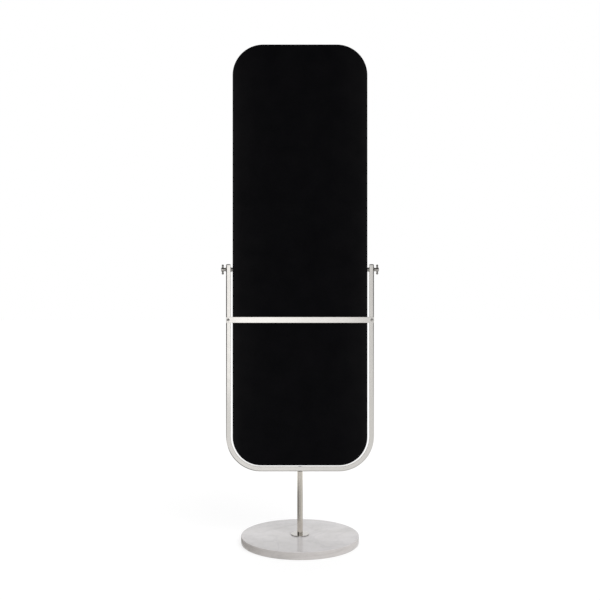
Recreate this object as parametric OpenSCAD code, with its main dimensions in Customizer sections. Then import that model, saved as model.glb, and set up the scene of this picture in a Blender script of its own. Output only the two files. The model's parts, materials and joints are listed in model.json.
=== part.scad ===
// Floor mirror on a stone base: a bent square-tube frame carries a tall pivoting panel.
// X runs across the mirror, Z is up and the floor is z = 0. The black back of the panel
// and the crossbar face -Y, and the silvered glass faces +Y.

/* [Stone base] */
// Diameter of the base
base_d = 400; // [320:5:480]
// Thickness of the base
base_t = 25; // [22:1:40]
// Rounding of the rim, top and bottom
base_edge_r = 2; // [0.5:0.5:4]
// Number of felt pads
pad_n = 4; // [3:1:6]
// Diameter of a felt pad
pad_d = 30; // [20:1:40]
// Thickness of a felt pad
pad_t = 2; // [1.6:0.1:3]
// Depth of the recess that a pad is glued into
pad_seat = 1; // [0.5:0.1:1.2]
// Stone left between the pads and the rim
pad_inset = 20; // [10:1:40]

/* [Base bolt] */
// Thread diameter of the bolt through the base
bolt_d = 10; // [8:1:10]
// Length of the bolt under its head
bolt_l = 46; // [42:1:52]
// Head of the bolt across its flats
bolt_flats = 16; // [13:1:19]
// Height of the bolt head
bolt_head_h = 6.4; // [4:0.1:7]
// Diameter of the washer under the stone
base_washer_d = 40; // [30:1:60]
// Thickness of the washer under the stone
base_washer_t = 2.5; // [1.5:0.5:4]

/* [Foot flange] */
// Diameter of the flange at the foot of the post
flange_d = 62; // [45:1:90]
// Thickness of the flange
flange_t = 2.5; // [2:0.5:4]
// Thickness of the gasket between flange and stone
gasket_t = 1; // [0.5:0.1:2]
// Length of the spigot inside the post
spigot_l = 34; // [30:1:50]
// Thread diameter of the locking grub screw
grub_d = 6; // [4:0.5:6]
// Height of the grub screw above the flange
grub_h = 4; // [4:0.5:12]
// Turn of the grub screw from the front of the post
grub_turn = -30; // [-90:5:90]

/* [Post] */
// Outer diameter of the post tube
post_d = 19; // [18:0.5:24]
// Wall of the post tube
post_wall = 1.5; // [1:0.1:1.8]
// Length of the post tube
post_l = 212; // [120:1:400]
// Length of the threaded plug in the top of the post
plug_l = 30; // [24:1:45]

/* [Frame] */
// Side of the square frame tube
tube_s = 16; // [16:1:22]
// Wall of the frame tube
tube_wall = 1.5; // [1.2:0.1:1.8]
// Edge radius of the tube on the outside of the frame
tube_outer_r = 3.5; // [2:0.1:5]
// Edge radius of the tube on the inside of the frame
tube_inner_r = 0.8; // [0.5:0.1:1.5]
// Height of the pivots above the underside of the frame
pivot_h = 686; // [500:1:800]
// Height of the frame above the pivots
frame_above = 18.5; // [18:0.5:40]
// Height of the cap on each upright
cap_h = 6; // [6:0.5:8]
// Gap between a cap's spigot and the pivot bush below it
cap_gap = 1; // [0.5:0.5:1.5]
// Radius of a cap's top corners, seen from the front and from the side
cap_corner_r = 4; // [1:0.5:5.5]

/* [Frame screw] */
// Thread diameter of the countersunk screw into the post
frame_screw_d = 6; // [5:0.5:6]
// Length of the frame screw with its head
frame_screw_l = 35; // [30:1:38]
// Diameter of the frame screw's head
frame_head_d = 12; // [10:0.5:12]

/* [Crossbar] */
// Height of the flat crossbar
bar_h = 20; // [12:1:30]
// Thickness of the crossbar
bar_t = 5; // [4:0.5:8]
// Edge radius of the crossbar
bar_edge_r = 0.8; // [0.3:0.1:1.5]
// Distance of each end of the crossbar inside the outer side of the frame
bar_inset = 1; // [0:0.5:2]
// Corner radius of the crossbar's ends, seen from the front
bar_end_r = 2; // [0.5:0.5:4]
// Distance of the crossbar's middle below the pivots
bar_drop = 171; // [60:1:400]
// Thread diameter of the crossbar screws
bar_screw_d = 5; // [4:0.5:5]
// Length of a crossbar screw under its head
bar_screw_l = 14; // [12:1:15]
// Diameter of a crossbar screw's head
bar_head_d = 10; // [8:0.5:11]
// Height of a crossbar screw's head
bar_head_h = 2.75; // [2:0.05:3.5]
// Diameter of a rivet nut's barrel
nut_d = 7; // [7:0.1:8]
// Diameter of a rivet nut's flange
nut_flange_d = 9; // [8.5:0.1:10]
// Thickness of a rivet nut's flange
nut_flange_t = 0.8; // [0.5:0.1:1.2]
// Length of a rivet nut behind its flange
nut_l = 11; // [9:0.5:12]
// Diameter of a rubber bumper on the crossbar
bumper_d = 12; // [8:1:18]
// Distance between the two bumpers
bumper_pitch = 300; // [100:10:400]

/* [Panel] */
// Width of the panel
mirror_w = 458; // [300:1:600]
// Height of the panel
mirror_h = 1430; // [1100:5:1700]
// Corner radius at the top of the panel
corner_top_r = 104; // [20:1:140]
// Corner radius at the bottom of the panel
corner_bottom_r = 97; // [30:1:140]
// Thickness of the black backboard
board_t = 12; // [12:0.5:14]
// Thickness of the mounting tape
tape_t = 1; // [0.5:0.1:2]
// Width of a tape strip
tape_w = 25; // [12:1:40]
// Number of tape strips
tape_n = 4; // [2:1:6]
// Distance of the tape from the panel's edges
tape_inset = 40; // [15:1:60]
// Thickness of the silvered glass
glass_t = 4; // [3:0.5:6]
// Gap between the panel and each upright
side_gap = 6.5; // [5:0.5:12]
// Gap between the panel and the bottom tube
bottom_gap = 4.5; // [4:0.5:15]
// Gap between the rounded corners of panel and frame
corner_gap = 6; // [5:0.5:12]

/* [Pivots] */
// Thread diameter of a thumbscrew
screw_d = 6; // [5:0.5:6]
// Length of a thumbscrew's thread inside the panel
screw_grip = 18; // [12:1:20]
// Outer diameter of the bush through an upright
bush_d = 10; // [9:0.5:11]
// Outer diameter of a threaded insert in the board
insert_d = 9; // [8:0.5:9]
// Length of a threaded insert
insert_l = 22; // [22:1:30]
// Flange diameter of a pivot spacer
spacer_d = 16; // [12:0.5:20]
// Waist diameter of a pivot spacer
spacer_waist_d = 12.5; // [10:0.5:13.5]
// Thickness of a pivot spacer's flanges
spacer_lip = 1.2; // [0.5:0.1:1.5]
// Thickness of a friction washer
friction_t = 1; // [0.5:0.1:1.5]
// Diameter of a clamp washer
clamp_d = 14; // [11:0.5:18]
// Thickness of a clamp washer
clamp_t = 1.5; // [1:0.1:2.5]
// Diameter of a thumbscrew's neck
neck_d = 12; // [10:0.5:14]
// Length of a thumbscrew's neck
neck_l = 5; // [3:0.5:8]
// Diameter of a thumbscrew's hub
hub_d = 15; // [13:0.5:20]
// Length of a thumbscrew's hub before its dome
hub_l = 8.5; // [8:0.5:14]
// Height of the dome on the hub
dome_h = 2; // [1.5:0.5:5]
// Diameter of the tommy bar
tommy_d = 5; // [4:0.5:6]
// Length of the tommy bar
tommy_l = 35; // [30:1:60]
// Diameter of the thicker ends of the tommy bar
knob_d = 7.5; // [6.5:0.1:9]
// Length of each thicker end
knob_l = 7.5; // [6:0.5:8]

/* [Fits] */
// Radial play of a shaft or thread in its hole
run_fit = 0.05; // [0.02:0.01:0.08]
// Radial play of a screw that passes through a hole
clear_fit = 0.3; // [0.2:0.05:0.5]
// Gap between faces that turn or rest against each other
face_gap = 0.3; // [0.2:0.05:0.4]

/* [Hidden] */
$fn = 96;

// Cutters run past the faces that they cut by this much
past = 1;
// Sides of a hexagon
hex = 6;
// Width of a hexagon socket, as a share of its thread
socket_share = 0.6;
// Metal left under a hexagon socket
socket_floor = 0.8;
// Room round the washer in the counterbore
recess_play = 2;
// Room below the bolt head in the counterbore
recess_room = 1;
// A tapped hole is this much deeper than its screw
tap_over = 3;
// The grub screw lies this far inside the face of the post
grub_sunk = 0.6;
// Closed end of a threaded insert
insert_end = 2;
// Folded collar of a rivet nut: width beyond the barrel, and height
collar_w = 1.2;
collar_h = 2;
LEFT = -1;
RIGHT = 1;

// Finishes
nickel = [0.80, 0.79, 0.76];
satin_nickel = [0.76, 0.71, 0.64];
cast_nickel = [0.55, 0.53, 0.50];
steel = [0.62, 0.62, 0.62];
black = [0.03, 0.03, 0.035];
brass_tone = [0.76, 0.62, 0.35];
marble_tone = [0.79, 0.78, 0.77];
felt_tone = [0.22, 0.21, 0.20];
tape_tone = [0.90, 0.90, 0.88];
silver = [0.72, 0.77, 0.78];

// Heights of the stand, from the floor up
base_z = pad_t - pad_seat;
base_top = base_z + base_t;
flange_z = base_top + gasket_t;
post_z = flange_z + flange_t;
frame_z = post_z + post_l;
pivot_z = frame_z + pivot_h;
frame_top = pivot_z + frame_above;
cap_spigot_l = frame_above - cap_h - bush_d / 2 - cap_gap;
bar_z = pivot_z - bar_drop;

// Depths, from the front to the glass side
tube_front = -tube_s / 2;
bar_front = tube_front - bar_t;
board_front = -board_t / 2;
tape_y = board_t / 2;
glass_y = tape_y + tape_t;

// The frame goes round the panel
frame_half = mirror_w / 2 + side_gap + tube_s;
upright_x = frame_half - tube_s / 2;
bend_r = corner_bottom_r + corner_gap + tube_s;
mirror_z = frame_z + tube_s + bottom_gap;
tube_bore = tube_s - 2 * tube_wall;
bar_l = 2 * (frame_half - bar_inset);

// Counterbore under the stone, deep enough for washer and bolt head
recess_d = base_washer_d + 2 * recess_play;
recess_h = base_washer_t + bolt_head_h + recess_room;
washer_z = base_z + recess_h - base_washer_t;
bolt_tap_h = bolt_l - (flange_z - washer_z) + tap_over;
pad_ring = base_d / 2 - pad_inset - pad_d / 2;

// Post and its fillings
post_bore_d = post_d - 2 * post_wall;
spigot_d = post_bore_d - 2 * run_fit;
grub_tip = bolt_d / 2 + face_gap / 2;
grub_head = post_d / 2 - grub_sunk;

// Countersink of the frame screw, at 90 degrees, and the bush below it, which fits between
// the round edges of the tube's bore
frame_head_h = (frame_head_d - frame_screw_d) / 2;
frame_bush_d = tube_bore - tube_inner_r;

// Panel edge outwards along a pivot
edge_x = mirror_w / 2;
spacer_l = side_gap - face_gap - friction_t;
friction_x = edge_x + spacer_l;
tube_in_x = edge_x + side_gap;
clamp_x = frame_half + face_gap;
neck_x = clamp_x + clamp_t + face_gap / 2;
hub_x = neck_x + neck_l;
tommy_x = hub_x + hub_l / 2;
screw_end_x = edge_x - screw_grip;
insert_bore_l = insert_l - insert_end;

// A rectangle with its lower left corner at the origin of its own width, and round corners
module round_panel(w, h, top_r, bottom_r) {
    translate([-w / 2, bottom_r]) square([w, h - top_r - bottom_r]);
    translate([-w / 2 + bottom_r, 0]) square([w - 2 * bottom_r, bottom_r]);
    translate([-w / 2 + top_r, h - top_r]) square([w - 2 * top_r, top_r]);
    for (s = [LEFT, RIGHT]) {
        translate([s * (w / 2 - bottom_r), bottom_r]) circle(bottom_r);
        translate([s * (w / 2 - top_r), h - top_r]) circle(top_r);
    }
}

// A square whose +X corners have one radius and whose -X corners have another
module edged_square(s, plus_r, minus_r) {
    translate([-s / 2 + minus_r, -s / 2]) square([s - plus_r - minus_r, s]);
    translate([-s / 2, -s / 2 + minus_r]) square([minus_r, s - 2 * minus_r]);
    translate([s / 2 - plus_r, -s / 2 + plus_r]) square([plus_r, s - 2 * plus_r]);
    for (v = [-1, 1]) {
        translate([s / 2 - plus_r, v * (s / 2 - plus_r)]) circle(plus_r);
        translate([-s / 2 + minus_r, v * (s / 2 - minus_r)]) circle(minus_r);
    }
}

// The frame tube's section, with the outside of the frame at +X
module tube_section() {
    difference() {
        edged_square(tube_s, tube_outer_r, tube_inner_r);
        bore_section(tube_bore);
    }
}

module bore_section(s) {
    edged_square(s, max(tube_outer_r - tube_wall, tube_inner_r / 2), tube_inner_r / 2);
}

// A turned ring along +Z
module ring(outer_d, inner_d, h) {
    difference() {
        cylinder(d = outer_d, h = h);
        translate([0, 0, -past]) cylinder(d = inner_d, h = h + 2 * past);
    }
}

// Cutter for the hexagon socket of a screw with thread diameter d, along +Z
module socket(d, h) {
    cylinder(d = d * socket_share / cos(180 / hex), h = h, $fn = hex);
}

// A round cap of height h on a circle of diameter d, along +Z
module dome(d, h) {
    ball_r = (d * d / 4 + h * h) / (2 * h);
    intersection() {
        translate([0, 0, h - ball_r]) sphere(ball_r);
        cylinder(d = d, h = h);
    }
}

// What is drawn for the +X side is mirrored to the -X side
module on_side(s) {
    if (s == LEFT) mirror([1, 0, 0]) children();
    else children();
}

// Along a pivot's axis: child +Z points outwards from x
module on_pivot(x) {
    translate([x, 0, pivot_z]) rotate([0, 90, 0]) children();
}

// On the front of the frame where a crossbar screw goes: child +Z points to the front
module on_bar_screw(y) {
    translate([upright_x, y, bar_z]) rotate([90, 0, 0]) children();
}

module at_pads() {
    for (i = [0 : pad_n - 1]) rotate([0, 0, i * 360 / pad_n]) translate([pad_ring, 0, 0]) children();
}

// Radially out of the post at the grub screw: child +Z points away from the post's axis
module on_grub(r) {
    translate([0, 0, post_z + grub_h]) rotate([0, 0, -90 + grub_turn]) rotate([0, 90, 0])
        translate([0, 0, r]) children();
}

// Stone base: the rim is rounded above and below
module marble_base() {
    color(marble_tone) difference() {
        translate([0, 0, base_z]) rotate_extrude() {
            square([base_d / 2 - base_edge_r, base_t]);
            translate([0, base_edge_r]) square([base_d / 2, base_t - 2 * base_edge_r]);
            for (z = [base_edge_r, base_t - base_edge_r])
                translate([base_d / 2 - base_edge_r, z]) circle(base_edge_r);
        }
        translate([0, 0, base_z - past]) cylinder(d = bolt_d + 2 * clear_fit, h = base_t + 2 * past);
        translate([0, 0, base_z - past]) cylinder(d = recess_d, h = recess_h + past);
        at_pads() translate([0, 0, base_z - past]) cylinder(d = pad_d + 2 * clear_fit, h = pad_seat + past);
    }
}

module base_pads() {
    color(felt_tone) at_pads() cylinder(d = pad_d, h = pad_t);
}

module base_washer() {
    color(steel) translate([0, 0, washer_z]) ring(base_washer_d, bolt_d + 2 * clear_fit, base_washer_t);
}

module base_bolt() {
    color(steel) {
        translate([0, 0, washer_z]) cylinder(d = bolt_d, h = bolt_l);
        translate([0, 0, washer_z - bolt_head_h])
            cylinder(d = bolt_flats / cos(180 / hex), h = bolt_head_h, $fn = hex);
    }
}

module flange_gasket() {
    color(black) translate([0, 0, base_top]) ring(flange_d, bolt_d + 2 * clear_fit, gasket_t);
}

// Flange with the spigot that the post stands on, tapped for the base bolt
module foot_flange() {
    color(nickel) difference() {
        union() {
            translate([0, 0, flange_z]) cylinder(d = flange_d, h = flange_t);
            translate([0, 0, post_z]) cylinder(d = spigot_d, h = spigot_l);
        }
        translate([0, 0, flange_z - past]) cylinder(d = bolt_d + 2 * run_fit, h = bolt_tap_h + past);
        on_grub(0) cylinder(d = grub_d + 2 * run_fit, h = post_d);
    }
}

module post_grub_screw() {
    color(black) difference() {
        on_grub(grub_tip) cylinder(d = grub_d, h = grub_head - grub_tip);
        on_grub(grub_head - grub_d * socket_share) socket(grub_d, grub_d);
    }
}

module post() {
    color(satin_nickel) difference() {
        translate([0, 0, post_z]) ring(post_d, post_bore_d, post_l);
        on_grub(0) cylinder(d = grub_d + 2 * clear_fit, h = post_d);
    }
}

// Threaded plug that closes the top of the post
module post_top_plug() {
    color(steel) translate([0, 0, frame_z - plug_l]) ring(spigot_d, frame_screw_d + 2 * run_fit, plug_l);
}

// A countersunk head flush with the plane z = 0, reaching down
module countersink(d, head_d, head_h) {
    translate([0, 0, -head_h]) cylinder(d1 = d, d2 = head_d, h = head_h);
}

module frame_screw() {
    top_z = frame_z + tube_s;
    color(steel) translate([0, 0, top_z]) difference() {
        union() {
            countersink(frame_screw_d, frame_head_d, frame_head_h);
            translate([0, 0, -frame_screw_l]) cylinder(d = frame_screw_d, h = frame_screw_l - frame_head_h);
        }
        translate([0, 0, -frame_head_h + socket_floor]) socket(frame_screw_d, frame_head_h);
    }
}

// The seat of the frame screw's head, wider than the head by the play
module frame_screw_seat() {
    translate([0, 0, frame_z + tube_s]) {
        countersink(frame_screw_d + 2 * clear_fit, frame_head_d + 2 * clear_fit, frame_head_h);
        cylinder(d = frame_head_d + 2 * clear_fit, h = past);
        translate([0, 0, -tube_s - past]) cylinder(d = frame_screw_d + 2 * clear_fit, h = tube_s + past);
    }
}

// Bush between the post and the top wall of the bottom tube, so that the screw can't crush the tube
module frame_bush() {
    color(steel) difference() {
        translate([0, 0, frame_z]) cylinder(d = frame_bush_d, h = tube_s - tube_wall);
        frame_screw_seat();
    }
}

// The bent tube, open at both tops, with the holes of pivots, crossbar and frame screw
module u_frame() {
    color(nickel) difference() {
        union() {
            translate([bend_r - frame_half, 0, frame_z + tube_s / 2]) rotate([0, 90, 0])
                linear_extrude(2 * (frame_half - bend_r)) tube_section();
            for (s = [LEFT, RIGHT]) on_side(s) {
                translate([frame_half - bend_r, 0, frame_z + bend_r]) rotate([90, 0, 0])
                    rotate([0, 0, -90]) rotate_extrude(angle = 90)
                        translate([bend_r - tube_s / 2, 0]) tube_section();
                translate([upright_x, 0, frame_z + bend_r])
                    linear_extrude(frame_top - cap_h - frame_z - bend_r) tube_section();
            }
        }
        for (s = [LEFT, RIGHT]) on_side(s) {
            on_pivot(tube_in_x - past) cylinder(d = bush_d + 2 * run_fit, h = tube_s + 2 * past);
            on_bar_screw(tube_front + tube_s / 2) cylinder(d = nut_d + 2 * run_fit, h = tube_s / 2 + past);
        }
        frame_screw_seat();
        translate([0, 0, frame_z - past]) cylinder(d = frame_bush_d + 2 * run_fit, h = tube_s / 2 + past);
    }
}

// Cap that closes the top of an upright, its four top edges rounded off
module tube_cap() {
    color(nickel) {
        translate([upright_x, 0, frame_top - cap_h]) intersection() {
            linear_extrude(cap_h) edged_square(tube_s, tube_outer_r, tube_inner_r);
            cap_prism();
            rotate([0, 0, 90]) cap_prism();
        }
        translate([upright_x, 0, frame_top - cap_h - cap_spigot_l])
            linear_extrude(cap_spigot_l) bore_section(tube_bore - 2 * run_fit);
    }
}

// Prism along Y with the front view of a cap
module cap_prism() {
    translate([0, tube_s / 2 + past, 0]) rotate([90, 0, 0]) linear_extrude(tube_s + 2 * past) {
        translate([-tube_s / 2, 0]) square([tube_s, cap_h - cap_corner_r]);
        translate([-tube_s / 2 + cap_corner_r, 0]) square([tube_s - 2 * cap_corner_r, cap_h]);
        for (s = [LEFT, RIGHT])
            translate([s * (tube_s / 2 - cap_corner_r), cap_h - cap_corner_r]) circle(cap_corner_r);
    }
}

// Flat bar across the front of both uprights
module crossbar() {
    color(nickel) difference() {
        translate([0, (bar_front + tube_front) / 2, bar_z]) intersection() {
            eased_prism(bar_l, bar_t, bar_h + 2 * past, bar_edge_r);
            rotate([0, 90, 0]) eased_prism(bar_h, bar_t, bar_l + 2 * past, bar_edge_r);
            rotate([90, 0, 0]) eased_prism(bar_l, bar_h, bar_t + 2 * past, bar_end_r);
        }
        for (s = [LEFT, RIGHT]) on_side(s) {
            on_bar_screw(tube_front + past) cylinder(d = bar_screw_d + 2 * clear_fit, h = bar_t + 2 * past);
            on_bar_screw(tube_front + past)
                cylinder(d = nut_flange_d + 2 * clear_fit, h = nut_flange_t + clear_fit + past);
        }
    }
}

// Prism of height h about the plane z = 0, with round corners of radius r
module eased_prism(w, l, h, r) {
    translate([0, 0, -h / 2]) linear_extrude(h) {
        square([w - 2 * r, l], center = true);
        square([w, l - 2 * r], center = true);
        for (u = [-1, 1], v = [-1, 1]) translate([u * (w / 2 - r), v * (l / 2 - r)]) circle(r);
    }
}

// Rivet nut set in the front wall of an upright, with its folded collar behind the wall
module rivet_nut() {
    collar_d = nut_d + 2 * collar_w;
    color(steel) difference() {
        union() {
            on_bar_screw(tube_front) cylinder(d = nut_flange_d, h = nut_flange_t);
            on_bar_screw(tube_front + nut_l) cylinder(d = nut_d, h = nut_l);
            on_bar_screw(tube_front + tube_wall + collar_h) cylinder(d = collar_d, h = collar_h);
        }
        on_bar_screw(tube_front + nut_l + past)
            cylinder(d = bar_screw_d + 2 * run_fit, h = nut_l + nut_flange_t + 2 * past);
    }
}

// Button-headed screw with a hexagon socket
module crossbar_screw() {
    color(cast_nickel) difference() {
        union() {
            on_bar_screw(bar_front) dome(bar_head_d, bar_head_h);
            on_bar_screw(bar_front + bar_screw_l) cylinder(d = bar_screw_d, h = bar_screw_l);
        }
        on_bar_screw(bar_front - socket_floor) socket(bar_screw_d, bar_head_h);
    }
}

// Rubber bumpers on the back of the crossbar, which the panel rests against when upright
module crossbar_bumpers() {
    color(black) for (s = [LEFT, RIGHT])
        translate([s * bumper_pitch / 2, board_front - face_gap, bar_z]) rotate([90, 0, 0])
            cylinder(d = bumper_d, h = board_front - face_gap - tube_front);
}

// Bush through both walls of an upright, in which the thumbscrew turns
module pivot_bush() {
    color(brass_tone) on_pivot(tube_in_x) ring(bush_d, screw_d + 2 * run_fit, tube_s);
}

// Black board with a blind hole for an insert in each side
module backboard() {
    color(black) difference() {
        translate([0, tape_y, mirror_z]) rotate([90, 0, 0])
            linear_extrude(board_t) round_panel(mirror_w, mirror_h, corner_top_r, corner_bottom_r);
        for (s = [LEFT, RIGHT]) on_side(s)
            on_pivot(edge_x - insert_l) cylinder(d = insert_d + 2 * run_fit, h = insert_l + past);
    }
}

// Upright strips of tape, which stop short of the round corners
module mounting_tape() {
    span = mirror_w - 2 * tape_inset - tape_w;
    low = corner_bottom_r;
    color(tape_tone) for (i = [0 : tape_n - 1])
        translate([-span / 2 + i * span / (tape_n - 1) - tape_w / 2, tape_y, mirror_z + low])
            cube([tape_w, tape_t, mirror_h - corner_top_r - low]);
}

module mirror_glass() {
    color(silver) translate([0, glass_y + glass_t, mirror_z]) rotate([90, 0, 0])
        linear_extrude(glass_t) round_panel(mirror_w, mirror_h, corner_top_r, corner_bottom_r);
}

// Insert tapped for the thumbscrew, flush with the edge of the board
module panel_insert() {
    color(brass_tone) difference() {
        on_pivot(edge_x - insert_l) cylinder(d = insert_d, h = insert_l);
        on_pivot(edge_x - insert_bore_l) cylinder(d = screw_d + 2 * run_fit, h = insert_bore_l + past);
    }
}

// Spool between the panel and the friction washer
module pivot_spacer() {
    color(cast_nickel) on_pivot(edge_x) difference() {
        union() {
            cylinder(d = spacer_waist_d, h = spacer_l);
            cylinder(d = spacer_d, h = spacer_lip);
            translate([0, 0, spacer_l - spacer_lip]) cylinder(d = spacer_d, h = spacer_lip);
        }
        translate([0, 0, -past]) cylinder(d = screw_d + 2 * clear_fit, h = spacer_l + 2 * past);
    }
}

module friction_washer() {
    color(black) on_pivot(friction_x) ring(spacer_d, screw_d + 2 * clear_fit, friction_t);
}

// Washer that the thumbscrew's neck presses on the upright
module clamp_washer() {
    color(cast_nickel) on_pivot(clamp_x) ring(clamp_d, screw_d + 2 * run_fit, clamp_t);
}

// Thread, neck and domed hub in one turned piece, cross-drilled for the tommy bar
module thumbscrew() {
    color(cast_nickel) difference() {
        union() {
            on_pivot(screw_end_x) cylinder(d = screw_d, h = neck_x - screw_end_x);
            on_pivot(neck_x) cylinder(d = neck_d, h = neck_l);
            on_pivot(hub_x) cylinder(d = hub_d, h = hub_l);
            on_pivot(hub_x + hub_l) dome(hub_d, dome_h);
        }
        translate([tommy_x, 0, pivot_z - hub_d])
            cylinder(d = tommy_d + 2 * run_fit, h = 2 * hub_d);
    }
}

// Bar through the hub, with a thicker round-ended grip at each end
module tommy_bar() {
    color(cast_nickel) translate([tommy_x, 0, pivot_z]) {
        translate([0, 0, -tommy_l / 2 + knob_l / 2]) cylinder(d = tommy_d, h = tommy_l - knob_l);
        for (flip = [0, 180]) rotate([flip, 0, 0]) translate([0, 0, tommy_l / 2 - knob_l]) {
            cylinder(d = knob_d, h = knob_l - knob_d / 2);
            translate([0, 0, knob_l - knob_d / 2]) sphere(d = knob_d);
        }
    }
}

marble_base();
base_pads();
base_washer();
base_bolt();
flange_gasket();
foot_flange();
post_grub_screw();
post();
post_top_plug();
frame_screw();
frame_bush();
u_frame();
on_side(LEFT) tube_cap();  // left_tube_cap
on_side(RIGHT) tube_cap();  // right_tube_cap
crossbar();
on_side(LEFT) rivet_nut();  // left_rivet_nut
on_side(RIGHT) rivet_nut();  // right_rivet_nut
on_side(LEFT) crossbar_screw();  // left_crossbar_screw
on_side(RIGHT) crossbar_screw();  // right_crossbar_screw
crossbar_bumpers();
on_side(LEFT) pivot_bush();  // left_pivot_bush
on_side(RIGHT) pivot_bush();  // right_pivot_bush
backboard();
mounting_tape();
mirror_glass();
on_side(LEFT) panel_insert();  // left_panel_insert
on_side(RIGHT) panel_insert();  // right_panel_insert
on_side(LEFT) pivot_spacer();  // left_pivot_spacer
on_side(RIGHT) pivot_spacer();  // right_pivot_spacer
on_side(LEFT) friction_washer();  // left_friction_washer
on_side(RIGHT) friction_washer();  // right_friction_washer
on_side(LEFT) clamp_washer();  // left_clamp_washer
on_side(RIGHT) clamp_washer();  // right_clamp_washer
on_side(LEFT) thumbscrew();  // left_thumbscrew
on_side(RIGHT) thumbscrew();  // right_thumbscrew
on_side(LEFT) tommy_bar();  // left_tommy_bar
on_side(RIGHT) tommy_bar();  // right_tommy_bar
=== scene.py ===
"""Floor mirror on a stone base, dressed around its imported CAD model."""
import json
import math

import bmesh
import bpy
from mathutils import Matrix, Vector


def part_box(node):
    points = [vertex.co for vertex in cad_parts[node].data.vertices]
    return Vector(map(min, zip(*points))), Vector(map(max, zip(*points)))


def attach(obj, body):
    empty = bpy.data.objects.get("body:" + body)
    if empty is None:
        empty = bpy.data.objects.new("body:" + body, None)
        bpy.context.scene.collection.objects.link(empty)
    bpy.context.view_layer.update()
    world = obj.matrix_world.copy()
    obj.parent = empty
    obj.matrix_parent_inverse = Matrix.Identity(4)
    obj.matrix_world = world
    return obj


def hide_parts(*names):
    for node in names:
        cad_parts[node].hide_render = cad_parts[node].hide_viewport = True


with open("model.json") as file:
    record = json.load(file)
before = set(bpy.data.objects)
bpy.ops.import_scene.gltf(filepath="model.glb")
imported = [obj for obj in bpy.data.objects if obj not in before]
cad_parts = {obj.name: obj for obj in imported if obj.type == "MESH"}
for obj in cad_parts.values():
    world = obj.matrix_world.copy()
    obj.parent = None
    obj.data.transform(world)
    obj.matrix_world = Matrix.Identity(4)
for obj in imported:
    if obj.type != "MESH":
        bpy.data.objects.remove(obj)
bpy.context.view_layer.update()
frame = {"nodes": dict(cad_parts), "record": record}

MM = 0.001
LEFT, RIGHT = -1, 1
SIDES = {"left": LEFT, "right": RIGHT}

# The photograph's viewpoint: a level camera in front of the black back of the panel
CAMERA_DISTANCE = 2.830
CAMERA_HEIGHT = 0.824
CAMERA_LENS = 49.878
CAMERA_SENSOR = 36

# Light levels, where 1 is white
WORLD_SEEN = 1.0
WORLD_FILL = 0.71
FLOOR_SEEN_COLOUR = (0.32, 0.32, 0.32)
FLOOR_BOUNCE_COLOUR = (0.55, 0.515, 0.46)
FLOOR_GLOW = 0.705
KEY_DIRECTION = (0.46, -0.58, 0.67)
KEY_STRENGTH = 1.36
KEY_ANGLE = 50  # Degrees across, as seen from the object
BACK_DIRECTION = (0.0, 0.42, 0.91)
BACK_STRENGTH = 0.25
BACK_ANGLE = 40
PAPER_LEVELS = ((-0.7, 0.72), (-0.1, 0.87), (0.1, 0.78), (0.7, 0.67))

# The studio's sizes in metres, with its cards a little above the floor
FLOOR_HALF = 30
ROOM_FRONT = -4.6
ROOM_TOP = 3.2
WALL_LIFT = 0.01
CARD_HALF = 3.5
PAPER_HALF = 2.5
PAPER_BACK = -1.3
PAPER_LIFT = 0.002
CEILING_HALF = 4
CEILING_BACK = 3.5
NEAR_FLAG = (1.5, 0.9, 0.62)  # Distance to the side, back, top
FAR_FLAG = (3.0, 2.0, ROOM_TOP)
RING_INNER_R = 0.205
RING_FRONT_R = 2.0
RING_BACK_R = 1.1
RING_LIFT = 0.003
RING_SEAM = 115  # Degrees from the front
BACKDROP_BEND_START = 3.6
BACKDROP_BEND_R = 1.6
BACKDROP_TOP = 4.0

# How the meshes are made
MERGE_DISTANCE = 1e-7
FACING = 0.99  # A normal's least share along an axis for a face to look that way
BASE_SIDES = 288
FOOT_SIDES = 144
SMALL_SIDES = 64
DOME_STEPS = 16
KNOB_STEPS = 12
CAP_STEPS = 10
BEND_STEPS = 12

# Sizes that the CAD boxes don't give
PANEL_TOP_R = 104 * MM
PANEL_BOTTOM_R = 97 * MM
BOARD_EDGE_R = 0.4 * MM
GLASS_ARRIS = 0.8 * MM
TAPE_W = 25 * MM
TAPE_STRIPS = 4
TAPE_CORNER_R = 1.5 * MM
TAPE_EDGE_R = 0.2 * MM
BASE_EDGE_R = 2 * MM
BOLT_HOLE_R = 5.3 * MM
RECESS_R = 22 * MM
RECESS_H = 9.9 * MM
RECESS_EDGE_R = 0.5 * MM
PAD_R = 15 * MM
PAD_COUNT = 4
PAD_LOW_EDGE_R = 0.5 * MM
PAD_TOP_EDGE_R = 0.2 * MM
GASKET_BULGE = 0.25 * MM
SPIGOT_R = 7.95 * MM
SPIGOT_EDGE_R = 0.6 * MM
FLANGE_T = 2.5 * MM
FLANGE_LOW_EDGE_R = 0.3 * MM
FLANGE_TOP_EDGE_R = 0.6 * MM
SCREW_R = 3 * MM
THREAD_PITCH = 1 * MM
THREAD_DEPTH = 0.6  # Of the pitch
NECK_R = 6 * MM
NECK_L = 5 * MM
NECK_EDGE_R = 0.5 * MM
HUB_R = 7.5 * MM
HUB_L = 8.5 * MM
HUB_FILLET_R = 0.6 * MM
HUB_EDGE_R = 0.7 * MM
DOME_H = 2 * MM
TOMMY_R = 2.5 * MM
KNOB_R = 3.75 * MM
KNOB_L = 7.5 * MM
KNOB_EDGE_R = 0.9 * MM
KNOB_TAPER = 0.8 * MM
SPACER_LIP = 1.2 * MM
SPACER_WAIST_R = 6.25 * MM
SPACER_FILLET_R = 0.5 * MM
TURNED_EDGE_R = 0.35 * MM
WASHER_BORE_R = 3.3 * MM
FIBRE_EDGE_R = 0.2 * MM
BUMPER_EDGE_R = 0.6 * MM
TUBE_OUTER_R = 3.5 * MM
TUBE_INNER_R = 0.8 * MM
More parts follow.
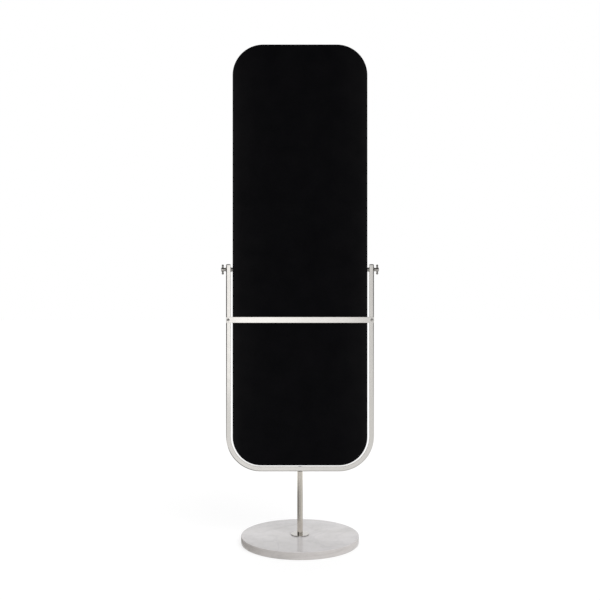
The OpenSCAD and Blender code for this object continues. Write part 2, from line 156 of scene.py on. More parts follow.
TUBE_WALL = 1.5 * MM
LEAST_EDGE_R = 0.1 * MM
PLUG_PLAY = 0.05 * MM
CAP_H = 6 * MM
CAP_EDGE_R = 4 * MM
BAR_EDGE_R = 0.8 * MM
BAR_END_R = 2 * MM


# Meshes: each builder returns points and faces
def rounded(corners, steps=6, closed=True):
    """A line through corners (x, y, radius), with an arc at each corner that has a radius."""
    points = []
    last = len(corners) - 1
    for i, (x, y, radius) in enumerate(corners):
        corner = Vector((x, y))
        if radius == 0 or (not closed and i in (0, last)):
            points.append(corner)
            continue
        before = (Vector(corners[i - 1][:2]) - corner).normalized()
        after = (Vector(corners[0 if i == last else i + 1][:2]) - corner).normalized()
        half = before.angle(after) / 2
        centre = corner + (before + after).normalized() * radius / math.sin(half)
        start = corner + before * radius / math.tan(half) - centre
        end = corner + after * radius / math.tan(half) - centre
        first = math.atan2(start.y, start.x)
        turn = (math.atan2(end.y, end.x) - first + math.pi) % math.tau - math.pi
        for k in range(steps + 1):
            angle = first + turn * k / steps
            points.append(centre + radius * Vector((math.cos(angle), math.sin(angle))))
    return points


def bands(rows, n, closed=False):
    """Faces between each row of n points and the next."""
    faces = []
    for i in range(rows if closed else rows - 1):
        a, b = i * n, (i + 1) % rows * n
        faces += [(a + k, a + (k + 1) % n, b + (k + 1) % n, b + k) for k in range(n)]
    return faces


def shut(rows, n):
    """Faces between rows of n points, with the first and last row closed."""
    return bands(rows, n) + [tuple(range(n)), tuple((rows - 1) * n + k for k in range(n))]


def around(angle, radius, height=0):
    """The point at an angle, radius and height round the Z axis."""
    return Vector((radius * math.cos(angle), radius * math.sin(angle), height))


def turned(outline, place, closed=False, sides=96):
    """Turns an outline of (height, radius) round the local Z of place."""
    points = []
    for height, radius in outline:
        points += [place @ around(math.tau * k / sides, radius, height) for k in range(sides)]
    return points, bands(len(outline), sides, closed)


def threaded(start, end, radius, pitch, place, sides=48, rows_per_turn=8):
    """A helical thread between two heights, with its depth fading out at both ends."""
    depth = THREAD_DEPTH * pitch
    rows = round((end - start) / pitch * rows_per_turn)
    points = []
    for i in range(rows + 1):
        height = start + (end - start) * i / rows
        fade = min(1, i / rows_per_turn, (rows - i) / rows_per_turn)
        for k in range(sides):
            phase = (height / pitch - k / sides) % 1
            crest = radius - depth * fade * abs(2 * phase - 1)
            points.append(place @ around(math.tau * k / sides, crest, height))
    return points, shut(rows + 1, sides)


def stacked(levels):
    """Joins closed outlines of 3D points, all with as many points, and closes both ends."""
    return [p for row in levels for p in row], shut(len(levels), len(levels[0]))


def joined(*parts):
    """Several meshes as one."""
    points, faces = [], []
    for part_points, part_faces in parts:
        base = len(points)
        points += part_points
        faces += [tuple(base + i for i in face) for face in part_faces]
    return points, faces


def edge_levels(low, high, radius, steps=4):
    """(inset, height) pairs up a plate with both its edges rounded."""
    arc = [(radius * (1 - math.sin(a)), radius * (1 - math.cos(a)))
           for a in (math.pi / 2 * k / steps for k in range(steps + 1))]
    lower = [(inset, low + rise) for inset, rise in arc]
    upper = [(inset, high - rise) for inset, rise in reversed(arc)]
    return lower + upper


def panel_outline(width, height, bottom, inset, steps=24):
    """The panel's front view, drawn inwards by inset, above its lowest edge."""
    half = width / 2 - inset
    low, high = bottom + inset, bottom + height - inset
    return rounded([(-half, low, PANEL_BOTTOM_R - inset), (half, low, PANEL_BOTTOM_R - inset),
                    (half, high, PANEL_TOP_R - inset), (-half, high, PANEL_TOP_R - inset)], steps)


def panel_plate(node, levels):
    """A plate with the panel's outline in a node's place, with (inset, depth) levels along +Y."""
    low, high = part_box(node)
    width, height = high.x - low.x, high.z - low.z
    return stacked([[Vector((p.x, depth, p.y)) for p in panel_outline(width, height, low.z, inset)]
                    for inset, depth in levels])


def block(low, high, corner_r, edge_r, steps=4):
    """A box with rounded corners in front view and rounded edges, between two corners."""
    levels = []
    for inset, depth in edge_levels(low.y, high.y, edge_r, steps):
        r = max(corner_r - inset, corner_r / 4)
        left, right, bottom, top = low.x + inset, high.x - inset, low.z + inset, high.z - inset
        outline = rounded([(left, bottom, r), (right, bottom, r), (right, top, r), (left, top, r)],
                          steps)
        levels.append([Vector((p.x, depth, p.y)) for p in outline])
    return stacked(levels)


def washer_outline(low, high, radius, edge_r):
    """A closed outline of a washer, with its outer edges rounded."""
    return rounded([(low, WASHER_BORE_R, 0), (low, radius, edge_r),
                    (high, radius, edge_r), (high, WASHER_BORE_R, 0)], steps=4)


# Pieces
def part(name, shape, body, slot, *nodes, angle=35):
    """Makes an object with its slot's finish, which rides on a body and stands for CAD nodes.

    Edges that turn by more than angle degrees stay sharp.
    """
    mesh = bpy.data.meshes.new(name)
    mesh.from_pydata([tuple(p) for p in shape[0]], [], shape[1])
    bm = bmesh.new()
    bm.from_mesh(mesh)
    bmesh.ops.remove_doubles(bm, verts=bm.verts, dist=MERGE_DISTANCE)
    bmesh.ops.recalc_face_normals(bm, faces=bm.faces)
    bm.to_mesh(mesh)
    bm.free()
    mesh.shade_smooth()
    mesh.set_sharp_from_angle(angle=math.radians(angle))
    obj = bpy.data.objects.new(name, mesh)
    bpy.context.scene.collection.objects.link(obj)
    weighted = obj.modifiers.new("flat_faces_stay_flat", "WEIGHTED_NORMAL")
    weighted.keep_sharp = True
    mesh.materials.append(FINISHES[slot])
    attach(obj, body)
    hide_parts(*nodes)
    return obj


def outwards(side, pivot_z):
    """Local +Z points away from the mirror along the pivot's axis."""
    return Matrix.Translation((0, 0, pivot_z)) @ Matrix.Rotation(side * math.pi / 2, 4, "Y")


def reach(node):
    """The nearest and farthest distance of a side node from the mirror's middle plane."""
    low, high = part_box(node)
    return sorted((abs(low.x), abs(high.x)))


# Finishes
def feed(tree, socket, value):
    """Links a socket to another one, or gives it a plain value."""
    if isinstance(value, bpy.types.NodeSocket):
        tree.links.new(value, socket)
    else:
        socket.default_value = value


def calc(tree, operation, first, second=0.0):
    """One step of arithmetic in a node tree, on sockets or plain numbers."""
    made = tree.nodes.new("ShaderNodeMath")
    made.operation = operation
    feed(tree, made.inputs[0], first)
    feed(tree, made.inputs[1], second)
    return made.outputs[0]


def map_range(tree, value, low, high, start=0.0, end=1.0):
    """Maps a value between start and end to low and high."""
    made = tree.nodes.new("ShaderNodeMapRange")
    for name, amount in (("Value", value), ("From Min", start), ("From Max", end),
                         ("To Min", low), ("To Max", high)):
        feed(tree, made.inputs[name], amount)
    return made.outputs["Result"]


def fill_ramp(ramp, stops):
    """Gives a colour ramp its (place, colour) stops."""
    while len(ramp.elements) < len(stops):
        ramp.elements.new(0.5)
    for element, (spot, colour) in zip(ramp.elements, stops):
        element.position = spot
        element.color = (*colour, 1)


def mix_colours(tree, kind, amount, first, second):
    """Two colours mixed, on sockets or plain values."""
    made = tree.nodes.new("ShaderNodeMix")
    made.data_type = "RGBA"
    made.blend_type = kind
    colours = [socket for socket in made.inputs if socket.type == "RGBA"]
    feed(tree, made.inputs["Factor"], amount)
    feed(tree, colours[0], first)
    feed(tree, colours[1], second)
    return next(socket for socket in made.outputs if socket.type == "RGBA")


class Finish:
    """A material with its shader, and short ways to add nodes to it."""

    def __init__(self, name, **sockets):
        """A material whose shader has these plain values."""
        self.material = bpy.data.materials.new(name)
        self.material.use_nodes = True
        self.tree = self.material.node_tree
        self.shader = self.tree.nodes["Principled BSDF"]
        for key, value in sockets.items():
            self.shader.inputs[key.replace("_", " ")].default_value = value

    def node(self, kind, **inputs):
        """A new node with its inputs linked or set."""
        made = self.tree.nodes.new("ShaderNode" + kind)
        for key, value in inputs.items():
            feed(self.tree, made.inputs[key.replace("_", " ")], value)
        return made

    def place(self, stretch=(1, 1, 1)):
        """Coordinates in metres, stretched along the three axes."""
        coordinates = self.node("TexCoord").outputs["Object"]
        return self.node("Mapping", Vector=coordinates, Scale=stretch).outputs["Vector"]

    def noise(self, scale, detail=4.0, roughness=0.5, stretch=(1, 1, 1), distortion=0.0):
        """Noise by place, from 0 to 1."""
        made = self.node("TexNoise", Vector=self.place(stretch), Scale=scale, Detail=detail,
                         Roughness=roughness, Distortion=distortion)
        return made.outputs["Fac"]

    def range(self, value, low, high, start=0.3, end=0.7):
        """Maps a value to low and high, by default from the span that noise keeps to."""
        return map_range(self.tree, value, low, high, start, end)

    def tone(self, value, *stops):
        """Colours from a value, by (place, colour) stops."""
        made = self.node("ValToRGB", Fac=value)
        fill_ramp(made.color_ramp, stops)
        return made.outputs["Color"]

    def multiply(self, first, second, amount=1.0):
        """The first colour times the second, by amount."""
        return mix_colours(self.tree, "MULTIPLY", amount, first, second)

    def set(self, **sockets):
        """Links the shader's sockets."""
        for key, value in sockets.items():
            self.tree.links.new(value, self.shader.inputs[key.replace("_", " ")])

    def bump(self, height, strength, distance):
        """Bump by height, whose full step is distance."""
        made = self.node("Bump", Height=height, Strength=strength, Distance=distance)
        self.tree.links.new(made.outputs["Normal"], self.shader.inputs["Normal"])


def nickel_finish(name, dull, bright, low, high):
    """Nickel plate: faint warm clouding between two tones, and fine polishing lines."""
    finish = Finish(name, Metallic=1.0)
    cloud = finish.noise(9, 3)
    lines = finish.noise(1500, 2, stretch=(0.15, 1, 0.15))
    finish.set(Base_Color=finish.tone(cloud, (0.3, dull), (0.7, bright)),
               Roughness=finish.range(finish.noise(60, 5), low, high))
    finish.bump(lines, 0.04, 0.0002)
    return finish.material


def stone_finish():
    """Polished pale marble, bedded level, so that its layers run round the rim as fine streaks."""
    finish = Finish("stone", IOR=1.43)
    clouds = finish.noise(5, 6, 0.6, stretch=(1, 1, 6), distortion=0.6)
    layers = finish.noise(11, 5, 0.65, stretch=(1, 1, 22))
    speckle = finish.noise(420, 3, 0.7)
    vein = finish.noise(3.2, 7, 0.62, stretch=(1, 1.3, 4), distortion=1.1)
    body = finish.tone(clouds, (0.32, (0.593, 0.575, 0.571)), (0.52, (0.646, 0.625, 0.628)),
                       (0.7, (0.690, 0.669, 0.674)))
    grain = finish.tone(layers, (0.3, (0.90, 0.90, 0.89)), (0.6, (1.0, 1.0, 1.0)))
    salt = finish.tone(speckle, (0.3, (0.95, 0.95, 0.95)), (0.6, (1.0, 1.0, 1.0)))
    lines = finish.tone(vein, (0.47, (1.0, 1.0, 1.0)), (0.495, (0.88, 0.88, 0.89)),
                        (0.52, (1.0, 1.0, 1.0)))
    colour = finish.multiply(finish.multiply(body, grain), salt)
    colour = finish.multiply(colour, lines, 0.6)
    finish.set(Base_Color=colour, Roughness=finish.range(speckle, 0.10, 0.17))
    finish.bump(finish.noise(120, 3), 0.02, 0.0003)
    return finish.material


def board_finish():
    """Black lacquer on board, with a fine orange-peel surface and a painted glare that lightens it
    toward its side edges.
    """
    finish = Finish("black_board", IOR=1.45, Specular_IOR_Level=0.04)
    mottle = finish.noise(14, 5)
    across = finish.node("SeparateXYZ", Vector=finish.place()).outputs["X"]
    # Painted glare: the lacquer's tone is multiplied up to about three times lighter toward the
    # panel's side edges
    off_middle = finish.range(calc(finish.tree, "ABSOLUTE", across), 0, 1, 0.10, 0.23)
    body = finish.tone(mottle, (0.3, (0.0054, 0.0054, 0.0066)), (0.7, (0.0082, 0.0080, 0.0092)))
    painted_edge_glare = finish.tone(off_middle, (0.0, (0.34, 0.34, 0.38)), (0.42, (0.41, 0.41, 0.44)),
                        (0.77, (0.56, 0.56, 0.56)), (1.0, (1.0, 1.0, 1.0)))
    finish.set(Base_Color=finish.multiply(body, painted_edge_glare),
               Roughness=finish.range(finish.noise(260, 3), 0.42, 0.60))
    finish.bump(finish.noise(700, 2), 0.10, 0.0002)
    return finish.material


def mirror_finish():
    """The silvered face, with the faintest smear in its polish."""
    finish = Finish("glass", Metallic=1.0)
    smear = finish.noise(7, 4, stretch=(1, 1, 0.4))
    body = finish.tone(smear, (0.3, (0.905, 0.925, 0.918)), (0.7, (0.925, 0.942, 0.935)))
    finish.set(Base_Color=body, Roughness=finish.range(smear, 0.004, 0.014))
    return finish.material


def glass_edge_finish():
    """Ground and seamed edge of float glass, green in its depth."""
    finish = Finish("glass_edge", IOR=1.52)
    grind = finish.noise(1800, 3)
    body = finish.tone(grind, (0.3, (0.20, 0.34, 0.30)), (0.7, (0.34, 0.50, 0.45)))
    finish.set(Base_Color=body, Roughness=finish.range(grind, 0.22, 0.45))
    finish.bump(grind, 0.12, 0.0002)
    return finish.material


def felt_finish():
    """Pressed wool felt with loose fibres."""
    finish = Finish("felt", Roughness=1.0, Sheen_Weight=0.35)
    fibres = finish.noise(1400, 6, 0.7, distortion=1.5)
    body = finish.tone(fibres, (0.3, (0.030, 0.027, 0.025)), (0.7, (0.085, 0.079, 0.073)))
    finish.set(Base_Color=body)
    finish.bump(fibres, 0.6, 0.0006)
    return finish.material


def zinc_finish():
    """Zinc-plated steel, faintly blue and spangled."""
    finish = Finish("zinc_steel", Metallic=1.0)
    spangle = finish.node("TexVoronoi", Vector=finish.place(), Scale=520.0).outputs["Distance"]
    body = finish.tone(spangle, (0.0, (0.53, 0.55, 0.58)), (0.8, (0.66, 0.67, 0.69)))
    finish.set(Base_Color=body, Roughness=finish.range(finish.noise(300, 4), 0.26, 0.40))
    finish.bump(spangle, 0.08, 0.0002)
    return finish.material


def dark_steel_finish(name, dull, worn, low, high):
    """Steel under a dark plating, lighter where it is worn."""
    finish = Finish(name, Metallic=1.0)
    wear = finish.noise(380, 5)
    body = finish.tone(wear, (0.3, dull), (0.75, worn))
    finish.set(Base_Color=body, Roughness=finish.range(wear, low, high))
    finish.bump(finish.noise(1600, 3), 0.08, 0.0002)
    return finish.material


def rubber_finish():
    """Matte black rubber with moulding grain."""
    finish = Finish("gasket", IOR=1.5)
    grain = finish.noise(1300, 4, 0.6)
    body = finish.tone(grain, (0.3, (0.022, 0.022, 0.021)), (0.7, (0.042, 0.041, 0.040)))
    finish.set(Base_Color=body, Roughness=finish.range(grain, 0.62, 0.82))
    finish.bump(grain, 0.3, 0.0003)
    return finish.material


def brass_finish():
    """Turned brass with tool rings."""
    finish = Finish("brass", Metallic=1.0)
    rings = finish.noise(1100, 2, stretch=(1, 0.05, 0.05))
    body = finish.tone(rings, (0.3, (0.62, 0.46, 0.22)), (0.7, (0.74, 0.58, 0.31)))
    finish.set(Base_Color=body, Roughness=finish.range(rings, 0.20, 0.34))
    finish.bump(rings, 0.15, 0.0002)
    return finish.material


def tape_finish():
    """Closed-cell foam of the mounting tape."""
    finish = Finish("tape", IOR=1.4)
    cells = finish.node("TexVoronoi", Vector=finish.place(), Scale=1500.0).outputs["Distance"]
    body = finish.tone(cells, (0.0, (0.66, 0.66, 0.63)), (0.7, (0.80, 0.80, 0.78)))
    finish.set(Base_Color=body, Roughness=finish.range(cells, 0.7, 0.9, 0.0, 0.8))
    finish.bump(cells, 0.4, 0.0003)
    return finish.material


def fibre_finish():
    """Black vulcanised fibre."""
    finish = Finish("fibre", IOR=1.5)
    grain = finish.noise(900, 5, stretch=(4, 1, 1))
    body = finish.tone(grain, (0.3, (0.020, 0.017, 0.015)), (0.7, (0.040, 0.034, 0.030)))
    finish.set(Base_Color=body, Roughness=finish.range(grain, 0.45, 0.65))
    finish.bump(grain, 0.2, 0.0002)
    return finish.material


FINISHES = {
    "nickel": nickel_finish("nickel", (0.81, 0.788, 0.752), (0.852, 0.828, 0.792), 0.12, 0.17),
    "satin_nickel": nickel_finish("satin_nickel", (0.73, 0.685, 0.615), (0.79, 0.74, 0.665),
                                  0.17, 0.23),
    "cast_nickel": nickel_finish("cast_nickel", (0.49, 0.475, 0.45), (0.56, 0.54, 0.515),
                                 0.14, 0.21),
    "stone": stone_finish(), "black_board": board_finish(), "glass": mirror_finish(),
    "felt": felt_finish(), "zinc_steel": zinc_finish(),
    "dark_steel": dark_steel_finish("dark_steel", (0.65, 0.63, 0.60), (0.77, 0.75, 0.715),
                                    0.40, 0.52),
    "black_oxide": dark_steel_finish("black_oxide", (0.012, 0.0115, 0.011), (0.03, 0.028, 0.026),
                                     0.34, 0.50),
    "gasket": rubber_finish(), "brass": brass_finish(), "tape": tape_finish(),
    "fibre": fibre_finish(),
}
GLASS_EDGE = glass_edge_finish()


def dress_nodes():
    """Every CAD node gets the finish of its slot."""
    for subpart in frame["record"]["subparts"]:
        for slot in frame["nodes"][subpart["node"]].material_slots:
            slot.material = FINISHES[subpart["material_slot"]]


# The stand
def stone_base():
    """The disc, with its bolt's hole and the washer's recess underneath."""
    low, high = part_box("marble_base")
    outer = high.x
    profile = rounded([
        (low.z + RECESS_H, BOLT_HOLE_R, 0), (low.z + RECESS_H, RECESS_R, 0),
        (low.z, RECESS_R, RECESS_EDGE_R), (low.z, outer, BASE_EDGE_R),
        (high.z, outer, BASE_EDGE_R), (high.z, BOLT_HOLE_R, 0)], steps=8)
    disc = turned(profile, Matrix(), closed=True, sides=BASE_SIDES)
    part("stone_disc", disc, "stand", "stone", "marble_base")


def felt_pads():
    """Round pads in a ring under the stone."""
    low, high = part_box("base_pads")
    pads_r = high.x - PAD_R
    profile = rounded([(low.z, 0, 0), (low.z, PAD_R, PAD_LOW_EDGE_R),
                       (high.z, PAD_R, PAD_TOP_EDGE_R), (high.z, 0, 0)], steps=4, closed=False)
    pads = []
    for k in range(PAD_COUNT):
        spot = Matrix.Translation(around(math.tau * k / PAD_COUNT, pads_r))
        pads.append(turned(profile, spot, sides=SMALL_SIDES))
    part("felt_pads", joined(*pads), "stand", "felt", "base_pads")


def foot():
    """The gasket, and the flange with the spigot that the post stands on."""
    low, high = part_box("flange_gasket")
    middle = (low.z + high.z) / 2
    rim = high.x
    profile = [(low.z, BOLT_HOLE_R), (low.z, rim - GASKET_BULGE), (middle, rim),
               (high.z, rim - GASKET_BULGE), (high.z, BOLT_HOLE_R)]
    gasket = turned(profile, Matrix(), closed=True, sides=FOOT_SIDES)
    part("foot_gasket", gasket, "stand", "gasket", "flange_gasket")
    low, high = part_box("foot_flange")
    top = low.z + FLANGE_T
    profile = rounded([
        (low.z, BOLT_HOLE_R, 0), (low.z, high.x, FLANGE_LOW_EDGE_R),
        (top, high.x, FLANGE_TOP_EDGE_R), (top, SPIGOT_R, 0),
        (high.z, SPIGOT_R, SPIGOT_EDGE_R), (high.z, BOLT_HOLE_R, 0)])
    flange = turned(profile, Matrix(), closed=True, sides=FOOT_SIDES)
    part("round_flange", flange, "stand", "nickel", "foot_flange")


def crossbar():
    """The flat bar, and the bumpers on its back that the panel rests against."""
    low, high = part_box("crossbar")
    bar = block(low, high, BAR_END_R, BAR_EDGE_R, steps=6)
    part("flat_bar", bar, "stand", "nickel", "crossbar", angle=60)
    low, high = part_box("crossbar_bumpers")
    radius = (high.z - low.z) / 2
    centre_z = (high.z + low.z) / 2
    thick = high.y - low.y
    profile = rounded([(0, 0, 0), (0, radius, 0), (thick, radius, BUMPER_EDGE_R), (thick, 0, 0)],
                      steps=5, closed=False)
    bumpers = []
    for side in SIDES.values():
        place = (Matrix.Translation((side * (high.x - radius), low.y, centre_z))
                 @ Matrix.Rotation(-math.pi / 2, 4, "X"))
        bumpers.append(turned(profile, place, sides=SMALL_SIDES))
    part("rubber_bumpers", joined(*bumpers), "stand", "gasket", "crossbar_bumpers")


def tube_cap(name, side):
    """A cap with its top edges rounded, on a plug that fills the tube's bore."""
    low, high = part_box(name + "_tube_cap")
    half = (high.y - low.y) / 2
    middle = side * sum(reach(name + "_tube_cap")) / 2
    base = high.z - CAP_H

    def section(inset, height):
        """The tube's outline, drawn inwards by inset, with its rounder edges outside the frame."""
        size = half - inset
        inner_r, outer_r = (max(r - inset, LEAST_EDGE_R) for r in (TUBE_INNER_R, TUBE_OUTER_R))
        outline = rounded([(-size, -size, inner_r), (size, -size, outer_r),
                           (size, size, outer_r), (-size, size, inner_r)])
        return [Vector((middle + side * p.x, p.y, height)) for p in outline]

    upper = edge_levels(base, high.z, CAP_EDGE_R, CAP_STEPS)[CAP_STEPS + 1:]
    cap = stacked([section(inset, height) for inset, height in [(0, base)] + upper])
    plug = stacked([section(TUBE_WALL + PLUG_PLAY, height) for height in (low.z, base)])
    part(name + "_cap", joined(cap, plug), "stand", "nickel", name + "_tube_cap", angle=40)


# The panel
def panel():
    """The lacquered board, the glass behind it, and the strips of tape between them."""
    low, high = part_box("backboard")
    plate = panel_plate("backboard", edge_levels(low.y, high.y, BOARD_EDGE_R))
    part("black_panel", plate, "mirror", "black_board", "backboard")
    low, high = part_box("mirror_glass")
    levels = [(GLASS_ARRIS, low.y), (0, low.y + GLASS_ARRIS),
              (0, high.y - GLASS_ARRIS), (GLASS_ARRIS, high.y)]
    plate = panel_plate("mirror_glass", levels)
    glass = part("glass_sheet", plate, "mirror", "glass", "mirror_glass")
    glass.data.materials.append(GLASS_EDGE)
    for face in glass.data.polygons:
        face.material_index = 0 if face.normal.y > FACING else 1
    low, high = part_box("mounting_tape")
    pitch = (high.x - low.x - TAPE_W) / (TAPE_STRIPS - 1)
    strips = []
    for k in range(TAPE_STRIPS):
        start = low.x + k * pitch
        strips.append(block(Vector((start, low.y, low.z)), Vector((start + TAPE_W, high.y, high.z)),
                            TAPE_CORNER_R, TAPE_EDGE_R))
    part("foam_tape", joined(*strips), "mirror", "tape", "mounting_tape")


# The pivots
def pivot(name, side):
    """The spool, the friction washer and the washer that the thumbscrew presses."""
    low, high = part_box(name + "_pivot_spacer")
    radius = (high.z - low.z) / 2
    place = outwards(side, (high.z + low.z) / 2)
    near, far = reach(name + "_pivot_spacer")
    near_lip, far_lip = near + SPACER_LIP, far - SPACER_LIP
    spool = rounded([
        (near, WASHER_BORE_R, 0), (near, radius, TURNED_EDGE_R), (near_lip, radius, TURNED_EDGE_R),
        (near_lip, SPACER_WAIST_R, SPACER_FILLET_R), (far_lip, SPACER_WAIST_R, SPACER_FILLET_R),
        (far_lip, radius, TURNED_EDGE_R), (far, radius, TURNED_EDGE_R),
        (far, WASHER_BORE_R, 0)], steps=4)
    part(name + "_spool", turned(spool, place, closed=True), "mirror", "cast_nickel",
         name + "_pivot_spacer")
    near, far = reach(name + "_friction_washer")
    washer = turned(washer_outline(near, far, radius, FIBRE_EDGE_R), place, closed=True)
    part(name + "_fibre_washer", washer, "mirror", "fibre", name + "_friction_washer")
    low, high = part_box(name + "_clamp_washer")
    near, far = reach(name + "_clamp_washer")
    radius = (high.z - low.z) / 2
    washer = turned(washer_outline(near, far, radius, TURNED_EDGE_R), place, closed=True)
    part(name + "_pressing_washer", washer, name + "_clamp", "cast_nickel", name + "_clamp_washer")


def thumbscrew(name, side):
    """A threaded shaft with a neck and a domed hub, and the tommy bar through the hub."""
    low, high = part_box(name + "_thumbscrew")
    place = outwards(side, (high.z + low.z) / 2)
    tip, crown = reach(name + "_thumbscrew")
    dome_start = crown - DOME_H
    hub_start = dome_start - HUB_L
    neck_start = hub_start - NECK_L
    ball_r = (HUB_R ** 2 + DOME_H ** 2) / (2 * DOME_H)
    rim = rounded([
        (neck_start, 0, 0), (neck_start, NECK_R, NECK_EDGE_R), (hub_start, NECK_R, HUB_FILLET_R),
        (hub_start, HUB_R, HUB_EDGE_R), (dome_start, HUB_R, 0)], steps=5, closed=False)
    span = math.asin(HUB_R / ball_r)
    dome = []
    for k in range(1, DOME_STEPS + 1):
        angle = span * (1 - k / DOME_STEPS)
        dome.append((crown - ball_r + ball_r * math.cos(angle), ball_r * math.sin(angle)))
    head = turned([tuple(p) for p in rim] + dome, place)
    shaft = threaded(tip, neck_start, SCREW_R, THREAD_PITCH, place)
    part(name + "_domed_screw", joined(shaft, head), name + "_thumbscrew", "cast_nickel",
         name + "_thumbscrew")
    low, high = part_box(name + "_tommy_bar")
    bar_place = Matrix.Translation(((low.x + high.x) / 2, 0, (low.z + high.z) / 2))
    half = (high.z - low.z) / 2
    flank = rounded([(half - KNOB_L, TOMMY_R, 0), (half - KNOB_L, KNOB_R, KNOB_EDGE_R),
                     (half - KNOB_R, KNOB_R, 0)], closed=False)
    knob = [(half - KNOB_L - KNOB_TAPER, TOMMY_R)] + [tuple(p) for p in flank[1:]]
    for k in range(1, KNOB_STEPS + 1):
        angle = math.pi / 2 * k / KNOB_STEPS
        knob.append((half - KNOB_R + KNOB_R * math.sin(angle), KNOB_R * math.cos(angle)))
    grip = turned([(-z, r) for z, r in reversed(knob)] + knob, bar_place, sides=SMALL_SIDES)
    part(name + "_grip_bar", grip, name + "_thumbscrew", "cast_nickel", name + "_tommy_bar")


# The studio
def ray_seen(tree):
    """1 for rays from the camera and for rays that gloss and glass send on, and 0 for the rest."""
    path = tree.nodes.new("ShaderNodeLightPath")
    seen = path.outputs["Is Camera Ray"]
    for name in ("Is Glossy Ray", "Is Transmission Ray"):
        seen = calc(tree, "MAXIMUM", seen, path.outputs[name])
    return seen


def white_world():
    """A world that reads white and lights the object less."""
    world = bpy.data.worlds.new("studio")
    bpy.context.scene.world = world
    world.use_nodes = True
    tree = world.node_tree
    back = tree.nodes["Background"]
    back.inputs["Color"].default_value = (1, 1, 1, 1)
    tree.links.new(map_range(tree, ray_seen(tree), WORLD_FILL, WORLD_SEEN), back.inputs["Strength"])


def blank_material(name):
    """A material whose node tree is empty, with that tree."""
    material = bpy.data.materials.new(name)
    material.use_nodes = True
    material.node_tree.nodes.clear()
    return material, material.node_tree


def sheet(name, shape, material):
    """An object of the studio, from points and faces."""
    mesh = bpy.data.meshes.new(name)
    mesh.from_pydata(shape[0], [], shape[1])
    obj = bpy.data.objects.new(name, mesh)
    bpy.context.scene.collection.objects.link(obj)
    mesh.materials.append(material)
    return obj


def level_sheet(half, front, back, height):
    """One level face that reaches half to each side, as points and faces."""
    points = [(-half, front, height), (half, front, height),
              (half, back, height), (-half, back, height)]
    return points, [(0, 1, 2, 3)]


def wall_sheet(start, end, top):
    """One upright face over the line between two (x, y) points, as points and faces."""
    points = [(*start, WALL_LIFT), (*end, WALL_LIFT), (*end, top), (*start, top)]
    return points, [(0, 1, 2, 3)]


def white_floor():
    """A floor that reads white and keeps a soft shadow."""
    material, tree = blank_material("studio_floor")
    seen = ray_seen(tree)
    matte = tree.nodes.new("ShaderNodeBsdfDiffuse")
    colour = mix_colours(tree, "MIX", seen, (*FLOOR_BOUNCE_COLOUR, 1), (*FLOOR_SEEN_COLOUR, 1))
    tree.links.new(colour, matte.inputs["Color"])
    glow = tree.nodes.new("ShaderNodeEmission")
    tree.links.new(map_range(tree, seen, 0.0, FLOOR_GLOW), glow.inputs["Strength"])
    both = tree.nodes.new("ShaderNodeAddShader")
    out = tree.nodes.new("ShaderNodeOutputMaterial")
    tree.links.new(matte.outputs[0], both.inputs[0])
    tree.links.new(glow.outputs[0], both.inputs[1])
    tree.links.new(both.outputs[0], out.inputs["Surface"])
    sheet("studio_floor", level_sheet(FLOOR_HALF, -FLOOR_HALF, FLOOR_HALF, 0), material)


def level(tree, value, *stops):
    """A level for each value, from (value, level) stops."""
    low, high = stops[0][0], stops[-1][0]
    levels = tree.nodes.new("ShaderNodeValToRGB")
    levels.color_ramp.interpolation = "EASE"
    fill_ramp(levels.color_ramp, [((spot - low) / (high - low), (amount, amount, amount))
                                  for spot, amount in stops])
    tree.links.new(map_range(tree, value, 0.0, 1.0, low, high), levels.inputs["Fac"])
    return levels.outputs["Color"]


def card(name, shape, glow_at):
    """A card that only gloss sees, and that glows by its x, y and z, as glow_at says."""
    material, tree = blank_material(name)
    coordinates = tree.nodes.new("ShaderNodeTexCoord")
    split = tree.nodes.new("ShaderNodeSeparateXYZ")
    tree.links.new(coordinates.outputs["Object"], split.inputs[0])
    glow = tree.nodes.new("ShaderNodeEmission")
    tree.links.new(glow_at(tree, *split.outputs), glow.inputs["Strength"])
    out = tree.nodes.new("ShaderNodeOutputMaterial")
    tree.links.new(glow.outputs[0], out.inputs["Surface"])
    obj = sheet(name, shape, material)
    obj.visible_camera = False
    obj.visible_diffuse = False
    obj.visible_shadow = False


def flat_card(name, shape, axis, *stops):
    """A flat card with its levels along one axis, 0 to 2."""
    card(name, shape, lambda tree, *xyz: level(tree, xyz[axis], *stops))


def side_flag(side, size, *stops):
    """An upright flag beside the object, of (distance, back, top), with its levels by height."""
    distance, back, top = size
    x = side * distance
    flat_card("side_flag", wall_sheet((x, ROOM_FRONT), (x, back), top), 2, *stops)


def round_card(name, outline, first, last, glow_at, steps=64):
    """A card turned from (radius, height) points, between two bearings from the front."""
    points, faces = [], []
    for k in range(steps + 1):
        bearing = math.radians(first + (last - first) * k / steps)
        points += [(radius * math.sin(bearing), -radius * math.cos(bearing), height)
                   for radius, height in outline]
    n = len(outline)
    for k in range(steps):
        a, b = k * n, (k + 1) * n
        faces += [(a + i, a + i + 1, b + i + 1, b + i) for i in range(n - 1)]
    card(name, (points, faces), glow_at)


def from_axis(tree, x, y):
    """The distance from the post's axis."""
    squares = calc(tree, "ADD", calc(tree, "POWER", x, 2), calc(tree, "POWER", y, 2))
    return calc(tree, "POWER", squares, 0.5)


